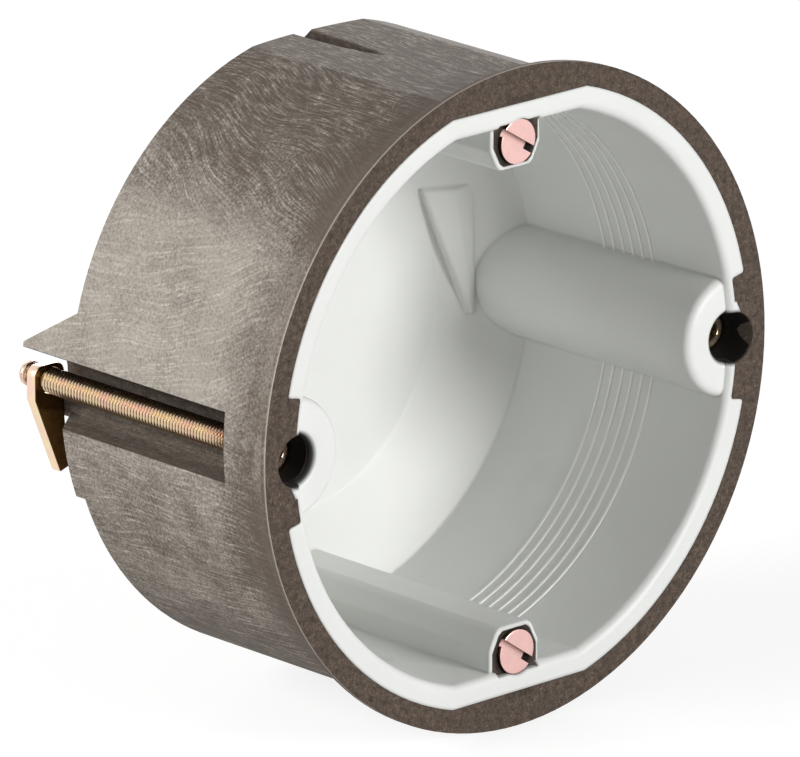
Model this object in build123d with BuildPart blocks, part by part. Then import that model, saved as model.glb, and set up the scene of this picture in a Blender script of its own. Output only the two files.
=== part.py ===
from build123d import *
from math import asin, atan2, radians, sin, sqrt, tan
import os

# Fire-rated back box for a dry wall: a cup of intumescent material with a moulded
# liner, two device screws and two fixing screws that draw claws against the wall.
# Millimetres. X runs across, Z up, and Y into the wall from the front rim at Y = 0.
# Everything repeats under a half turn about Y.

# Shell, the intumescent outer cup
body_d = 73.0            # goes into a round cut-out of 74
flange_reach = 2.15      # flange beyond the body, on the radius
flange_edge = 0.8        # straight edge of the flange
flare_depth = 4.4        # where the flange has run out into the body
body_flat_cut = 1.0      # top and bottom flats, below the round
shell_depth = 43.0       # front rim to the back
rear_rim_depth = 34.9    # where the round ends and the rear cone starts
rear_floor_d = 51.0
shell_wall = 2.05
shell_floor = 3.55

# Liner, the moulded inner cup
liner_wall = 1.1
liner_gap = 0.05         # liner to shell
rim_w = 2.7              # front rim, beyond the hollow on the radius
rim_t = 2.0
rim_flat_cut = 1.5
rim_round = 0.9          # soft inner edge of the rim
hollow_flat_cut = 1.4
wall_draft = 0.6         # the hollow narrows by this on the radius
cone_start = 32.5        # depth where the hollow's cone starts
hollow_floor_d = 46.0

# Teeth of the shell that lock the rim at both sides
tooth_reach = 1.9        # inwards from the rim's edge
tooth_half = 7.2         # half height at the inner edge
tooth_round = 0.35
bevel_out = 1.3          # bevel on the tooth, from the screw out and down to its foot
bevel_foot = 4.3

# Device screws and the posts that hold them
device_spacing = 60.0
device_head_d = 5.2
device_head_t = 0.5
device_head_depth = 0.3  # head face behind the rim plane
device_shank_d = 3.2
device_length = 20.0
device_slot_w = 0.9
device_slot_depth = 1.0
slot_turn_top = 32.0     # slots fall to the right by these angles
slot_turn_bottom = 35.0
post_half = 3.8
post_end = 3.15          # from the screw to the post's inner end
post_bevel_x = 1.0       # bevels at the post's inner end
post_bevel_z = 2.45
post_tip_x = 0.6
post_tip_z = 0.45
post_face = 0.8
post_round = 0.3         # soft front edge
sleeve_wall = 0.4
notch_half = 3.1         # notch in the rim outside each screw head
notch_depth = 0.5
notch_root = 1.5         # inwards from the rim's flat, inside the post
notch_gap = 0.1          # round each screw head
tip_bevel = 0.4

# Fixing screws, the domes round them and the claws
fixing_spacing = 67.4
fixing_head_d = 4.8
fixing_head_t = 2.0
fixing_thread_d = 3.0
fixing_length = 39.5
fixing_head_depth = 4.1
head_round = 0.4
tip_round = 1.1          # dome on the tip
access_d = 6.1           # mouth of the hole for the screwdriver
access_depth = 3.5       # where it has narrowed to the head
access_lip = 0.9         # rounded lip in the dome's face
head_gap = 0.1           # round the head
cross_w = 0.6
cross_span = 2.8
cross_depth = 1.1
seat_gap = 0.1           # under each screw head
run_gap = 0.08           # shafts in their holes, on the radius
dome_shift = 0.4         # dome axis outside the screw's
dome_r = 7.2
dome_face = 0.7
dome_round = 1.0

# Side slots, with the stop beside each and the pad on the other side
slot_start = 9.25
slot_half = 4.1
stop_root = 9.6          # height of the stop where it leaves the rear rim
stop_tip = 0.6
pad_reach = 1.5          # pad behind the rear rim
pad_top = 12.5
pad_foot = 3.05          # on the back, from the edge of its floor out to the pad's foot
heel_gap = 0.2           # heel behind the slot's inner end, beside the claw

# Claws
claw_t = 1.5
claw_gap = 0.95          # behind the pad, along the screw
claw_out = 2.5           # outer edge from the screw
claw_in = 2.0
claw_top = 1.9
claw_tip = 11.2
claw_tip_in = 2.7        # the tip's inner edge from the screw
claw_heel = 4.8          # where the inner edge begins to slant towards it
claw_shoulder = 2.0
claw_tip_w = 1.5
claw_rise = 0.5          # the tip's end rises inwards by this
claw_round = 1.2

# Grooves in the flats
groove_left = 1.65
groove_right = 1.2
groove_wall = 0.5        # steep wall, across the groove
groove_depth = 1.1
groove_front = 22.2
groove_run = 10.8        # from its front end to full depth

# Fine ridges round the inside
ridge_count = 6
ridge_start = 11.8
ridge_pitch = 1.56
ridge_w = 0.3
ridge_h = 0.12

# Wedge raised on the inner cone beside each dome
wedge_high = 12.0
wedge_low = 3.4
wedge_in = 20.1
wedge_ridge = 23.5
wedge_tip = 26.0
wedge_tip_w = 0.3
wedge_h = 0.8
wedge_lap = 0.4          # foot of its steep flank, beyond the top
wedge_foot = 25.5        # foot of its gentle flank
wedge_round = 0.3        # soft edges of its top

# Sizes that follow
body_r = body_d / 2
flange_r = body_r + flange_reach
body_flat = body_r - body_flat_cut
hollow_r = body_r - shell_wall - liner_gap - liner_wall
hollow_flat = hollow_r - hollow_flat_cut
hollow_depth = shell_depth - shell_floor - liner_gap - liner_wall
hollow_floor_r = hollow_floor_d / 2
cone_rise = hollow_depth - cone_start
cone_run = hollow_r - wall_draft - hollow_floor_r
rim_r = hollow_r + rim_w
rim_flat = rim_r - rim_flat_cut
tooth_r = rim_r - tooth_reach
rear_floor_r = rear_floor_d / 2
bed = liner_wall + liner_gap
beyond = flange_r + shell_depth
flare_fall = flange_r - body_r
flare_r = (flare_fall ** 2 + (flare_depth - flange_edge) ** 2) / (2 * flare_fall)
flat_fall = flange_r - body_flat
flat_flare_depth = flange_edge + sqrt(flat_fall * (2 * flare_r - flat_fall))
screw_z = device_spacing / 2
screw_x = fixing_spacing / 2
dome_x = screw_x + dome_shift
pad_rise = rear_rim_depth + pad_reach
pad_end = rear_floor_r + pad_foot
claw_inner_r = sqrt((screw_x - claw_in) ** 2 + slot_half ** 2)
device_tip = device_head_depth + device_length
fixing_seat = fixing_head_depth + fixing_head_t + seat_gap
fixing_tip = fixing_head_depth + fixing_head_t + fixing_length
upper_axis = Axis((0, 0, screw_z), (0, 1, 0))
lower_axis = Axis((0, 0, -screw_z), (0, 1, 0))
left_axis = Axis((-screw_x, 0, 0), (0, 1, 0))
right_axis = Axis((screw_x, 0, 0), (0, 1, 0))


def at_depth(depth):
    """Plane across the box at this depth, seen from the front."""
    return Plane.XZ.offset(-depth)


def cone_depth(r):
    """Depth of the hollow's cone at this radius."""
    return hollow_depth - (r - hollow_floor_r) * cone_rise / cone_run


def pad_depth(r):
    """Depth of the pad's slope at this radius."""
    return pad_rise + (body_r - r) * (shell_depth - pad_rise) / (body_r - pad_end)


def room(grow, front=0.0):
    """The plain hollow, pushed out by grow on every side."""
    cone = atan2(cone_rise, cone_run)
    corner = (hollow_r - wall_draft + grow, cone_start + grow * tan((radians(90) - cone) / 2))
    heel = (hollow_floor_r + grow * tan(cone / 2), hollow_depth + grow)
    mouth = hollow_r + grow - wall_draft * front / cone_start
    with BuildPart() as space:
        with BuildSketch():
            with BuildLine():
                Polyline((0, front), (mouth, front), corner, heel, (0, heel[1]), close=True)
            make_face()
        revolve(axis=Axis.Y)
        with BuildSketch(at_depth(front)):
            Rectangle(2 * beyond, 2 * (hollow_flat + grow))
        extrude(amount=-beyond, mode=Mode.INTERSECT)
    return space.part


def domes(grow):
    """Round bosses over the fixing screws, pulled in by grow."""
    with BuildPart() as bosses:
        with BuildSketch(at_depth(dome_face + grow)):
            with Locations((dome_x, 0), (-dome_x, 0)):
                Circle(dome_r - grow)
        extrude(amount=-(shell_depth - dome_face - grow))
        if grow == 0:
            fillet(bosses.faces().group_by(Axis.Y)[0].edges(), dome_round)
    return bosses.part


def post_outline(shrink, top):
    """Bevelled outline of the post behind the upper device screw, pulled in by shrink."""
    w = post_half - shrink
    e = screw_z - post_end + shrink
    side = [(w, top), (w, e + post_bevel_z), (w - post_bevel_x, e + post_tip_z),
            (w - post_bevel_x - post_tip_x, e)]
    return side + [(-x, z) for x, z in reversed(side)]


def posts(shrink, front, back, top):
    """Both posts between two depths, as far out as top."""
    with BuildPart() as pair:
        with BuildSketch(at_depth(front)):
            with PolarLocations(0, 2):
                Polygon(*post_outline(shrink, top), align=None)
        extrude(amount=-(back - front))
        if shrink == 0:
            fillet(pair.faces().group_by(Axis.Y)[0].edges(), post_round)
    return pair.part


def notches(grow):
    """Outline of the notches that the rim leaves for the device screws."""
    with BuildSketch(Plane.XZ) as outline:
        Rectangle(2 * (notch_half - grow), 2 * (hollow_flat + notch_depth - grow))
        Rectangle(2 * notch_half, 2 * (hollow_flat - notch_root), mode=Mode.SUBTRACT)
    return outline.sketch


def teeth(grow):
    """Outline of the shell's two teeth, pulled in by grow."""
    turn = asin(tooth_half / tooth_r)
    apex = grow / sin(turn)
    high = (beyond - apex) * tan(turn)
    with BuildSketch(Plane.XZ) as outline:
        with PolarLocations(0, 2):
            Polygon((apex, 0), (beyond, -high), (beyond, high), align=None)
        Circle(tooth_r + grow, mode=Mode.SUBTRACT)
        corners = [v for v in outline.vertices() if Vector(v).length < rim_r]
        fillet(corners, tooth_round)
        with PolarLocations(0, 2):
            Polygon((tooth_r - 1, 0), (tooth_r + grow, 0), (screw_x + bevel_out, access_d / 2 - 0.6),
                    (tooth_r + grow, bevel_foot), (tooth_r - 1, bevel_foot), align=None,
                    mode=Mode.SUBTRACT)
    return outline.sketch


def rim(grow):
    """Front outline of the rim, pushed out by grow."""
    with BuildSketch(Plane.XZ) as outline:
        Circle(rim_r + grow)
        Rectangle(2 * beyond, 2 * (rim_flat + grow), mode=Mode.INTERSECT)
        add(teeth(grow), mode=Mode.SUBTRACT)
        corners = [v for v in outline.vertices()
                   if Vector(v).length > rim_r + grow - 0.01 and abs(v.Z) < rim_flat - 1]
        fillet(corners, tooth_round)
    return outline.sketch


def device_outline(grow, front, tip):
    """Half section of a device screw, or with grow of its hole."""
    head = device_head_d / 2
    shank = device_shank_d / 2
    back = device_head_depth + device_head_t
    with BuildSketch() as half:
        Polygon((0, front), (head + grow, front), (head + grow, back),
                (shank + grow, back + head - shank), (shank + grow, tip - tip_bevel),
                (shank + grow - tip_bevel, tip), (0, tip), align=None)
    return half.sketch


def fixing_outline():
    """Half section of a fixing screw."""
    head = fixing_head_d / 2
    shank = fixing_thread_d / 2
    under = fixing_head_depth + fixing_head_t
    with BuildSketch() as half:
        Polygon((0, fixing_head_depth), (head - head_round, fixing_head_depth),
                (head, fixing_head_depth + head_round), (head, under), (shank, under),
                (shank, fixing_tip), (0, fixing_tip), align=None)
        fillet(half.vertices().group_by(Axis.Y)[-1].sort_by(Axis.X)[-1], tip_round)
    return half.sketch


def fixing_hole():
    """Half section of the hole for a fixing screw, from the funnel at the front to the slot."""
    head = fixing_head_d / 2 + head_gap
    shank = fixing_thread_d / 2 + run_gap
    slope = (access_d / 2 - head) / access_depth
    with BuildSketch() as half:
        Polygon((0, -1), (access_d / 2 + slope, -1), (head, access_depth), (head, fixing_seat),
                (shank, fixing_seat), (shank, slot_start + 1), (0, slot_start + 1), align=None)
    return half.sketch


def lips():
    """Hollows of the rounded lips round the holes in the domes' faces."""
    foot = dome_face + access_lip
    r = access_d / 2 - (access_d / 2 - fixing_head_d / 2 - head_gap) * foot / access_depth
    with BuildPart() as pair:
        with BuildSketch(Plane((screw_x, 0, 0))):
            with BuildLine():
                Polyline((r, foot), (0, foot), (0, -1), (r + access_lip, -1),
                         (r + access_lip, dome_face))
                TangentArc((r + access_lip, dome_face), (r, foot), tangent=(-1, 0))
            make_face()
        revolve(axis=right_axis)
        add(pair.part, rotation=(0, 180, 0))
        with BuildSketch(at_depth(-1)):
            Circle(hollow_r)
        extrude(amount=-shell_depth, mode=Mode.INTERSECT)
    return pair.part


claw_depth = pad_depth(claw_inner_r) + claw_gap


def claw_outline(side):
    """Plate that hangs from the left screw, or with side 1 stands on the right one."""
    corners = [(-claw_out, claw_top), (-claw_out, -claw_shoulder),
               (claw_tip_in - claw_tip_w, -claw_tip), (claw_tip_in, claw_rise - claw_tip),
               (claw_in, -claw_heel), (claw_in, claw_top)]
    return [(side * (screw_x - u), -side * w) for u, w in corners]


# Solids standing in the hollow: domes, posts, fine ridges and the raised wedges
with BuildPart() as wedge:
    top = [Vector(x, cone_depth(sqrt(x * x + z * z)) - wedge_h, z)
           for x, z in ((wedge_in, wedge_high), (wedge_ridge, wedge_high), (wedge_tip, -wedge_low))]
    lid = Plane(origin=top[0], x_dir=top[1] - top[0],
                z_dir=(top[1] - top[0]).cross(top[2] - top[0]))

    def on_lid(x, z):
        p = lid.to_local_coords(Vector(x, cone_depth(sqrt(x * x + z * z)) - wedge_h, z))
        return p.X, p.Y

    with BuildSketch(lid):
        Polygon(on_lid(wedge_in, wedge_high), on_lid(wedge_ridge, wedge_high),
                on_lid(wedge_tip + wedge_tip_w, -wedge_low), on_lid(wedge_tip, -wedge_low),
                align=None)
    with BuildSketch(lid.offset(wedge_h)):
        Polygon(on_lid(wedge_in - wedge_lap, wedge_high + wedge_lap),
                on_lid(wedge_foot, wedge_high + wedge_lap),
                on_lid(wedge_tip + wedge_tip_w + wedge_lap, -wedge_low - wedge_lap),
                on_lid(wedge_tip - wedge_lap, -wedge_low - wedge_lap), align=None)
    loft(ruled=True)
    depths = Axis(lid.origin, lid.z_dir)
    fillet(wedge.faces().sort_by(depths)[0].edges(), wedge_round)
    extrude(wedge.faces().sort_by(depths)[-1], amount=liner_wall)

with BuildPart() as standing:
    add(domes(0))
    add(posts(0, post_face, shell_depth, beyond))
    add(wedge.part)
    add(wedge.part, rotation=(0, 180, 0))
    with BuildSketch():
        for i in range(ridge_count):
            y = ridge_start + i * ridge_pitch
            r = hollow_r - wall_draft * y / cone_start - ridge_h
            with Locations((r, y)):
                Rectangle(ridge_h + liner_wall, ridge_w, align=(Align.MIN, Align.CENTER))
    revolve(axis=Axis.Y)
    add(room(liner_wall), mode=Mode.INTERSECT)

with BuildPart() as inner_liner:
    add(room(liner_wall))
    with BuildSketch(Plane.XZ):
        add(rim(0))
    extrude(amount=-rim_t)
    add(room(0, -1), mode=Mode.SUBTRACT)
    mouth = inner_liner.faces().sort_by(Axis.Y)[0].inner_wires()[0]
    fillet(mouth.edges(), rim_round)
    add(standing.part)
    # Inside of the domes and posts, open to the shell
    add(domes(liner_wall), mode=Mode.SUBTRACT)
    add(posts(sleeve_wall, -1, rim_t, hollow_flat), mode=Mode.SUBTRACT)
    add(posts(sleeve_wall, rim_t, shell_depth, beyond), mode=Mode.SUBTRACT)
    # Room for the teeth at both sides
    with BuildSketch(Plane.XZ):
        add(teeth(0))
    extrude(amount=-rim_t, mode=Mode.SUBTRACT)
    # Notches in the rim, rounded out for the screw heads
    with BuildSketch(Plane.XZ):
        add(notches(0))
        with Locations((0, screw_z), (0, -screw_z)):
            Circle(device_head_d / 2 + notch_gap)
    extrude(amount=-rim_t, mode=Mode.SUBTRACT)
    # Holes for the screwdriver
    with BuildSketch(Plane((screw_x, 0, 0))):
        add(fixing_hole())
    revolve(axis=right_axis, mode=Mode.SUBTRACT)
    with BuildSketch(Plane((-screw_x, 0, 0))):
        add(fixing_hole())
    revolve(axis=left_axis, mode=Mode.SUBTRACT)
    add(lips(), mode=Mode.SUBTRACT)

# Stop beside the left slot, a tongue of the round wall that reaches behind the rear rim
with BuildPart() as stop:
    with BuildSketch(Plane.YZ.offset(-beyond)):
        Polygon((rear_rim_depth - 1, slot_half), (shell_depth, slot_half),
                (shell_depth, slot_half + stop_tip), (rear_rim_depth, stop_root),
                (rear_rim_depth - 1, stop_root), align=None)
    extrude(amount=beyond - rear_floor_r + 1)
    with BuildSketch(Plane.XZ):
        Circle(body_r)
    extrude(amount=-shell_depth, mode=Mode.INTERSECT)

# Pad on the other side of the left slot
with BuildPart() as pad:
    with BuildSketch():
        Polygon((body_r, rear_rim_depth - 1), (body_r, pad_rise), (pad_end, shell_depth),
                (rear_floor_r - 1, shell_depth), (rear_floor_r - 1, shell_depth - 1),
                align=None)
    revolve(axis=Axis.Y)
    with BuildSketch(Plane.XZ):
        Polygon((-beyond, -slot_half), (-beyond, -pad_top), (1 - rear_floor_r, -pad_top),
                (1 - rear_floor_r, -slot_half), align=None)
    extrude(amount=-shell_depth, mode=Mode.INTERSECT)

# Heel that carries the slot's inner end to the back, beside the claw
with BuildPart() as heel:
    with BuildSketch(at_depth(rear_rim_depth)):
        Polygon((claw_in + heel_gap - screw_x, -slot_half - stop_tip),
                (1 - rear_floor_r, -slot_half - stop_tip), (1 - rear_floor_r, slot_half + stop_tip),
                (claw_in + heel_gap - screw_x, slot_half + stop_tip), align=None)
    extrude(amount=rear_rim_depth - shell_depth)

# Groove along the middle of the upper flat, deeper and wider from its front end on
with BuildPart() as groove:
    for run, share in ((0, 0.1), (0.2, 0.5), (0.55, 0.85), (1, 1)):
        with BuildSketch(at_depth(groove_front + run * groove_run)):
            Polygon((-groove_left * share, body_flat),
                    ((groove_right - groove_wall) * share, body_flat - groove_depth * share),
                    (groove_right * share, body_flat), align=None)
    loft(ruled=True)
    extrude(groove.faces().sort_by(Axis.Y)[-1], amount=shell_depth - groove_front - groove_run)

# What fills the liner's domes and posts from behind
with BuildPart() as filling:
    add(domes(bed))
    add(posts(sleeve_wall + liner_gap, rim_t, shell_depth, beyond))
    add(room(bed + shell_wall / 2), mode=Mode.INTERSECT)

with BuildPart() as intumescent_shell:
    with BuildSketch():
        with BuildLine():
            Polyline((0, 0), (flange_r, 0), (flange_r, flange_edge))
            TangentArc((body_r, flare_depth), (flange_r, flange_edge), tangent=(0, -1))
            Polyline((body_r, flare_depth), (body_r, rear_rim_depth),
                     (rear_floor_r, shell_depth), (0, shell_depth), (0, 0))
        make_face()
    revolve(axis=Axis.Y)
    # Flats above and below, run out into the flange with the same curve
    with BuildSketch(Plane.YZ):
        with BuildLine():
            Polyline((flange_edge, flange_r), (flange_edge, beyond), (beyond, beyond),
                     (beyond, body_flat), (flat_flare_depth, body_flat))
            TangentArc((flat_flare_depth, body_flat), (flange_edge, flange_r), tangent=(-1, 0))
        make_face()
        mirror(about=Plane.XZ)
    extrude(amount=beyond, both=True, mode=Mode.SUBTRACT)
    add(stop.part)
    add(stop.part, rotation=(0, 180, 0))
    add(pad.part)
    add(pad.part, rotation=(0, 180, 0))
    add(heel.part)
    add(heel.part, rotation=(0, 180, 0))
    add(groove.part, mode=Mode.SUBTRACT)
    add(groove.part, rotation=(0, 180, 0), mode=Mode.SUBTRACT)
    # Bed for the liner and its rim
    add(room(bed, rim_t), mode=Mode.SUBTRACT)
    add(filling.part)
    with BuildSketch(Plane.XZ):
        add(rim(liner_gap))
    extrude(amount=-rim_t, mode=Mode.SUBTRACT)
    add(posts(sleeve_wall + liner_gap, post_face, rim_t, hollow_flat - liner_gap))
    with BuildSketch(at_depth(post_face)):
        add(notches(liner_gap))
    extrude(amount=post_face - rim_t)
    # Slots for the fixing screws, open to the side and to the rear
    with BuildSketch(at_depth(slot_start)):
        with Locations((screw_x, 0), (-screw_x, 0)):
            Circle(slot_half)
        with PolarLocations(0, 2):
            Polygon((screw_x, -slot_half), (beyond, -slot_half), (beyond, slot_half),
                    (screw_x, slot_half), align=None)
    extrude(amount=slot_start - shell_depth, mode=Mode.SUBTRACT)
    # Holes for the fixing screws and the screwdriver
    with BuildSketch(Plane((screw_x, 0, 0))):
        add(fixing_hole())
    revolve(axis=right_axis, mode=Mode.SUBTRACT)
    with BuildSketch(Plane((-screw_x, 0, 0))):
        add(fixing_hole())
    revolve(axis=left_axis, mode=Mode.SUBTRACT)
    # Holes for the device screws
    with BuildSketch(Plane.XY.offset(screw_z)):
        add(device_outline(run_gap, -1, device_tip + 1))
    revolve(axis=upper_axis, mode=Mode.SUBTRACT)
    with BuildSketch(Plane.XY.offset(-screw_z)):
        add(device_outline(run_gap, -1, device_tip + 1))
    revolve(axis=lower_axis, mode=Mode.SUBTRACT)

with BuildPart() as device_screw_top:
    with BuildSketch(Plane.XY.offset(screw_z)):
        add(device_outline(0, device_head_depth, device_tip))
    revolve(axis=upper_axis)
    with BuildSketch(at_depth(device_head_depth)):
        with Locations(Location((0, screw_z, 0), (0, 0, -slot_turn_top))):
            Rectangle(2 * device_head_d, device_slot_w)
    extrude(amount=-device_slot_depth, mode=Mode.SUBTRACT)

with BuildPart() as device_screw_bottom:
    with BuildSketch(Plane.XY.offset(-screw_z)):
        add(device_outline(0, device_head_depth, device_tip))
    revolve(axis=lower_axis)
    with BuildSketch(at_depth(device_head_depth)):
        with Locations(Location((0, -screw_z, 0), (0, 0, -slot_turn_bottom))):
            Rectangle(2 * device_head_d, device_slot_w)
    extrude(amount=-device_slot_depth, mode=Mode.SUBTRACT)

with BuildPart() as fixing_screw_left:
    with BuildSketch(Plane((-screw_x, 0, 0))):
        add(fixing_outline())
    revolve(axis=left_axis)
    with BuildSketch(at_depth(fixing_head_depth)):
        with Locations((-screw_x, 0)):
            Rectangle(cross_span, cross_w)
            Rectangle(cross_w, cross_span)
    extrude(amount=-cross_depth, mode=Mode.SUBTRACT)

with BuildPart() as fixing_screw_right:
    add(fixing_screw_left.part, rotation=(0, 180, 0))

with BuildPart() as claw_left:
    with BuildSketch(at_depth(claw_depth)):
        Polygon(*claw_outline(-1), align=None)
        fillet(vertices().group_by(Axis.Y)[-1], claw_round)
        with Locations((-screw_x, 0)):
            Circle(fixing_thread_d / 2 + run_gap, mode=Mode.SUBTRACT)
    extrude(amount=-claw_t)

with BuildPart() as claw_right:
    add(claw_left.part, rotation=(0, 180, 0))

pieces = {"intumescent_shell": intumescent_shell, "inner_liner": inner_liner,
          "device_screw_top": device_screw_top, "device_screw_bottom": device_screw_bottom,
          "fixing_screw_left": fixing_screw_left, "fixing_screw_right": fixing_screw_right,
          "claw_left": claw_left, "claw_right": claw_right}
os.makedirs("parts", exist_ok=True)
for name, piece in pieces.items():
    piece.part.label = name
    export_step(piece.part, f"parts/{name}.step")
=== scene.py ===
import math

import bmesh
import bpy
import numpy as np
from bpy.props import FloatProperty, FloatVectorProperty, IntProperty, PointerProperty
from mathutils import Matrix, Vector


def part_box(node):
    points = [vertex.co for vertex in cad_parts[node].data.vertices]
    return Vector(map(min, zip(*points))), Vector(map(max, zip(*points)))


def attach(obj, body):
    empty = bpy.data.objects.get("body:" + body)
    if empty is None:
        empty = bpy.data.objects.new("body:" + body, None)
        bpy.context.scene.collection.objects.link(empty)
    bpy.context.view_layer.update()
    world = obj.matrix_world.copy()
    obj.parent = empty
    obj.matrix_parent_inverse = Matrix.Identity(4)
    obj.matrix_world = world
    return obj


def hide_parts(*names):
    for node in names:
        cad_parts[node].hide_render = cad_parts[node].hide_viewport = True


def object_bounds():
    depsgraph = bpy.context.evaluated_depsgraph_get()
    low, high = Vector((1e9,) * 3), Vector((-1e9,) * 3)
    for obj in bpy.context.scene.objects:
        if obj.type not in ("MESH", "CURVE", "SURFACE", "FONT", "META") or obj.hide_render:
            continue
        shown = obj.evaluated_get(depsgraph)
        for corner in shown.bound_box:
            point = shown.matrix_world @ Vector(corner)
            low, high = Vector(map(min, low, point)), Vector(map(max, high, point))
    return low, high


bl_info = {
    "name": "Fire Rated Back Box",
    "version": (1, 0, 0),
    "blender": (4, 5, 0),
    "location": "View3D > Sidebar > Back Box",
    "description": "Finishes, threads and claws of a fire rated back box for a dry wall",
    "category": "Object",
}

MM = 0.001
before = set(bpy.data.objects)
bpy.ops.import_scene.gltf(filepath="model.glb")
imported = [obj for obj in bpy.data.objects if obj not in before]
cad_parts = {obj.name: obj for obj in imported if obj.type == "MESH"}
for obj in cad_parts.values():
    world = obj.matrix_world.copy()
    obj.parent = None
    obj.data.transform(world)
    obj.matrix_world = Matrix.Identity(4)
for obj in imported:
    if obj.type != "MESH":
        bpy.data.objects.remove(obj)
cad_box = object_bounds()

# The depth of the box runs along +Y from the front of the rim, X runs across and Z up. These
# sizes place the finishes. They are the frame's own, in millimetres, or lie just past them
BODY_RADIUS = 36.5
FLANGE_RADIUS = 38.65
FLAT_HEIGHT = 35.5
GROOVE_HALF = 2.2
SLOT_FRONT = 9.25
SLOT_HALF = 4.1
SLOT_INNER = 27.0
FIXING_AXIS = 33.7
BORE_REACH = 3.3
SHANK_RADIUS = 1.5
DEVICE_AXIS = 30.0
POST_REACH = 5.4
RIDGE_FIRST = 11.8
RIDGE_PITCH = 1.56
RIDGE_HALF = 0.17
RIDGE_COUNT = 6
RIDGE_RADIUS = (32.7, 33.2)
RIDGE_SIDE = 4.5
# The skin and its streaks change at these heights, along edges as ragged as this
BAND_EDGES = (0.0, 21.0, 29.0)
RAGGED = 12.0


def linear(code):
    """Linear colour of an sRGB hex value, by the sRGB curve's two parts."""
    parts = [int(code[i:i + 2], 16) / 255 for i in (1, 3, 5)]
    return tuple(c / 12.92 if c <= 0.04045 else ((c + 0.055) / 1.055) ** 2.4 for c in parts)


def add_node(tree, kind, inputs=None, **settings):
    """Adds a node, sets its settings, and fills or links its inputs."""
    node = tree.nodes.new(kind)
    for name, value in settings.items():
        setattr(node, name, value)
    for key, value in (inputs or {}).items():
        if isinstance(value, bpy.types.NodeSocket):
            tree.links.new(value, node.inputs[key])
        else:
            node.inputs[key].default_value = value
    return node


def new_material(name):
    """A material, its empty node tree, and the object's own coordinates in millimetres."""
    material = bpy.data.materials.new(name)
    material.use_nodes = True
    tree = material.node_tree
    tree.nodes.clear()
    place = add_node(tree, "ShaderNodeTexCoord").outputs["Object"]
    mm = add_node(tree, "ShaderNodeVectorMath", {0: place, "Scale": 1 / MM}, operation="SCALE")
    return material, tree, mm.outputs["Vector"]


def finish_material(tree, shader):
    add_node(tree, "ShaderNodeOutputMaterial", {"Surface": shader.outputs[0]})


# Sizes and colours a user would change

class ShellLook(bpy.types.PropertyGroup):
    skin: FloatVectorProperty(
        name="Skin", description="Colour of the pressed skin",
        subtype="COLOR", default=linear("#A79F95"))
    binder: FloatVectorProperty(
        name="Binder", description="Colour of the binder where it shows through the skin",
        subtype="COLOR", default=linear("#5E544B"))
    # Also the colour of the painted highlight along the flange's front edge
    fibre: FloatVectorProperty(
        name="Fibre", description="Colour of the fibres and scuffs at the surface",
        subtype="COLOR", default=linear("#D6CFC4"))
    cut: FloatVectorProperty(
        name="Cut faces", description="Colour of the trimmed ring face and of the slot walls",
        subtype="COLOR", default=linear("#463C34"))
    # Painted shade: near black, laid in the bores, the posts' throats, the upper parts of the slots
    # and, a little, in the grooves
    bore: FloatVectorProperty(
        name="Bores", description="Colour deep in the bores",
        subtype="COLOR", default=linear("#060403"))
    streak_width: FloatProperty(
        name="Streak width", description="Width of one fine streak",
        unit="LENGTH", default=0.13 * MM)
    streak_length: FloatProperty(
        name="Streak length", description="Length of one fine streak",
        unit="LENGTH", default=2.8 * MM)
    sway: FloatProperty(
        name="Sway", description="How far round the body the streaks bend",
        subtype="ANGLE", default=math.radians(9))


class LinerLook(bpy.types.PropertyGroup):
    colour: FloatVectorProperty(
        name="Liner", description="Colour of the moulded liner",
        subtype="COLOR", default=linear("#E1E2DF"))
    # Painted highlight: colour painted on the crests of the ridges at the right
    ridge: FloatVectorProperty(
        name="Ridges", description="Colour of the fine ridges round the inside",
        subtype="COLOR", default=linear("#F4F4F2"))
    round: FloatProperty(
        name="Round", description="Radius that the mould gives the liner's edges",
        unit="LENGTH", default=0.7 * MM)


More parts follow.
